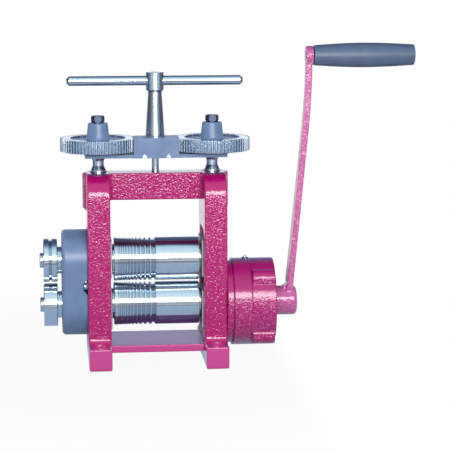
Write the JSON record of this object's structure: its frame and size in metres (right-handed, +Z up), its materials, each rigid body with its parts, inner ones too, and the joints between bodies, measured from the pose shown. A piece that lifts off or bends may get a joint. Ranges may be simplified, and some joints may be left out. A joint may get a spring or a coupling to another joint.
{
  "type": "jewellers rolling mill",
  "caption": "Hand-cranked rolling mill with flat and wire-groove rolls, geared screw adjustment with a T handle, planetary reduction drive and side extension rollers.",
  "frame": {"origin": "centre of the four bench holes, on the bench", "axes": "+X along the rolls towards the crank, +Y to the back, +Z up, square to the bench"},
  "size_m": [0.4885, 0.144, 0.4111],
  "materials": {
    "hammered_enamel": "gloss hammered enamel on cast iron",
    "crank_enamel": "gloss hammered enamel on the cast crank",
    "grey_blue_paint": "satin grey-blue paint",
    "ground_steel": "ground and polished steel",
    "cut_gear_steel": "machine-cut steel",
    "block_iron": "machined and blackened iron",
    "bearing_bronze": "turned bronze",
    "dark_fastener_steel": "black oxide steel",
    "bright_fastener_steel": "bright turned steel"
  },
  "bodies": {
    "frame": {"left_side_frame": "hammered_enamel", "right_side_frame": "hammered_enamel", "top_crossmember": "hammered_enamel", "base_plate": "hammered_enamel", "left_lower_bearing_block": "block_iron", "right_lower_bearing_block": "block_iron", "lower_bushes": "bearing_bronze", "spring_guide_pins": "ground_steel", "lift_springs": "ground_steel", "gear_cover": "grey_blue_paint", "gear_cover_screws": "bright_fastener_steel", "gearbox_spacer": "hammered_enamel", "gearbox_housing": "hammered_enamel", "gearbox_mount_screws": "dark_fastener_steel", "ring_gear": "cut_gear_steel", "gearbox_lid": "hammered_enamel", "gearbox_lid_screws": "bright_fastener_steel", "crank_shaft_bush": "bearing_bronze", "oil_cup": "bright_fastener_steel"},
    "upper_carriage": {"left_upper_bearing_block": "block_iron", "right_upper_bearing_block": "block_iron", "upper_bushes": "bearing_bronze", "thrust_pads": "block_iron"},
    "lower_roll_set": {"lower_roll": "ground_steel", "lower_roll_gear": "cut_gear_steel", "lower_gear_key": "cut_gear_steel", "lower_spacer_sleeve": "ground_steel", "lower_extension_roller": "ground_steel", "lower_roller_screw": "bright_fastener_steel", "planet_carrier": "cut_gear_steel", "planet_pins": "bright_fastener_steel"},
    "upper_roll_set": {"upper_roll": "ground_steel", "upper_roll_gear": "cut_gear_steel", "upper_gear_key": "cut_gear_steel", "upper_spacer_sleeve": "ground_steel", "upper_extension_roller": "ground_steel", "upper_roller_screw": "bright_fastener_steel"},
    "planet_1": {"planet_gear_1": "cut_gear_steel"},
    "planet_2": {"planet_gear_2": "cut_gear_steel"},
    "planet_3": {"planet_gear_3": "cut_gear_steel"},
    "crank": {"sun_shaft": "cut_gear_steel", "crank_arm": "crank_enamel", "crank_set_screw": "dark_fastener_steel", "grip_pin": "bright_fastener_steel"},
    "crank_grip": {"grip": "grey_blue_paint"},
    "head": {"bridge_plate": "grey_blue_paint", "pinion_cover": "grey_blue_paint", "pinion_cover_screws": "bright_fastener_steel"},
    "t_handle": {"handle_post": "ground_steel", "handle_bar": "ground_steel", "screw_pinion": "cut_gear_steel"},
    "left_screw": {"left_adjusting_screw": "ground_steel", "left_screw_gear": "cut_gear_steel", "left_gear_hub": "grey_blue_paint", "left_lock_bolt": "dark_fastener_steel"},
    "right_screw": {"right_adjusting_screw": "ground_steel", "right_screw_gear": "cut_gear_steel", "right_gear_hub": "grey_blue_paint", "right_lock_bolt": "dark_fastener_steel"}
  },
  "joints": [
    {"name": "crank_spin", "type": "hinge", "parent": "frame", "child": "crank", "pos_m": [0.1, 0, 0.07425], "axis": [1, 0, 0], "continuous": true},
    {"name": "lower_roll_spin", "type": "hinge", "parent": "frame", "child": "lower_roll_set", "pos_m": [0, 0, 0.07425], "axis": [1, 0, 0], "continuous": true},
    {"name": "upper_roll_spin", "type": "hinge", "parent": "upper_carriage", "child": "upper_roll_set", "pos_m": [0, 0, 0.13275], "axis": [1, 0, 0], "continuous": true},
    {"name": "grip_spin", "type": "hinge", "parent": "crank", "child": "crank_grip", "pos_m": [0.27, 0, 0.39525], "axis": [1, 0, 0], "continuous": true},
    {"name": "planet_1_spin", "type": "hinge", "parent": "lower_roll_set", "child": "planet_1", "pos_m": [0.116, 0, 0.04612], "axis": [1, 0, 0], "continuous": true},
    {"name": "planet_2_spin", "type": "hinge", "parent": "lower_roll_set", "child": "planet_2", "pos_m": [0.116, 0.02436, 0.08831], "axis": [1, 0, 0], "continuous": true},
    {"name": "planet_3_spin", "type": "hinge", "parent": "lower_roll_set", "child": "planet_3", "pos_m": [0.116, -0.02436, 0.08831], "axis": [1, 0, 0], "continuous": true},
    {"name": "t_handle_spin", "type": "hinge", "parent": "head", "child": "t_handle", "pos_m": [0, 0, 0.3], "axis": [0, 0, 1], "range_deg": [-812, 812]},
    {"name": "left_screw_spin", "type": "hinge", "parent": "head", "child": "left_screw", "pos_m": [-0.0735, 0, 0.28], "axis": [0, 0, 1], "range_deg": [-452, 452]},
    {"name": "right_screw_spin", "type": "hinge", "parent": "head", "child": "right_screw", "pos_m": [0.0735, 0, 0.28], "axis": [0, 0, 1], "range_deg": [-452, 452]},
    {"name": "head_lift", "type": "slide", "parent": "frame", "child": "head", "axis": [0, 0, 1], "range_m": [-0.0025, 0.0025]},
    {"name": "upper_carriage_lift", "type": "slide", "parent": "frame", "child": "upper_carriage", "axis": [0, 0, 1], "range_m": [-0.0025, 0.0025], "deforming": ["lift_springs"]}
  ],
  "couplings": [
    {"joint": "lower_roll_spin", "follows": "crank_spin", "ratio": 0.2},
    {"joint": "upper_roll_spin", "follows": "crank_spin", "ratio": -0.2},
    {"joint": "planet_1_spin", "follows": "crank_spin", "ratio": -0.53333},
    {"joint": "planet_2_spin", "follows": "crank_spin", "ratio": -0.53333},
    {"joint": "planet_3_spin", "follows": "crank_spin", "ratio": -0.53333},
    {"joint": "t_handle_spin", "follows": "head_lift", "rad_per_m": 5654.9},
    {"joint": "left_screw_spin", "follows": "head_lift", "rad_per_m": -3141.6},
    {"joint": "right_screw_spin", "follows": "head_lift", "rad_per_m": -3141.6},
    {"joint": "upper_carriage_lift", "follows": "head_lift", "ratio": 1}
  ]
}
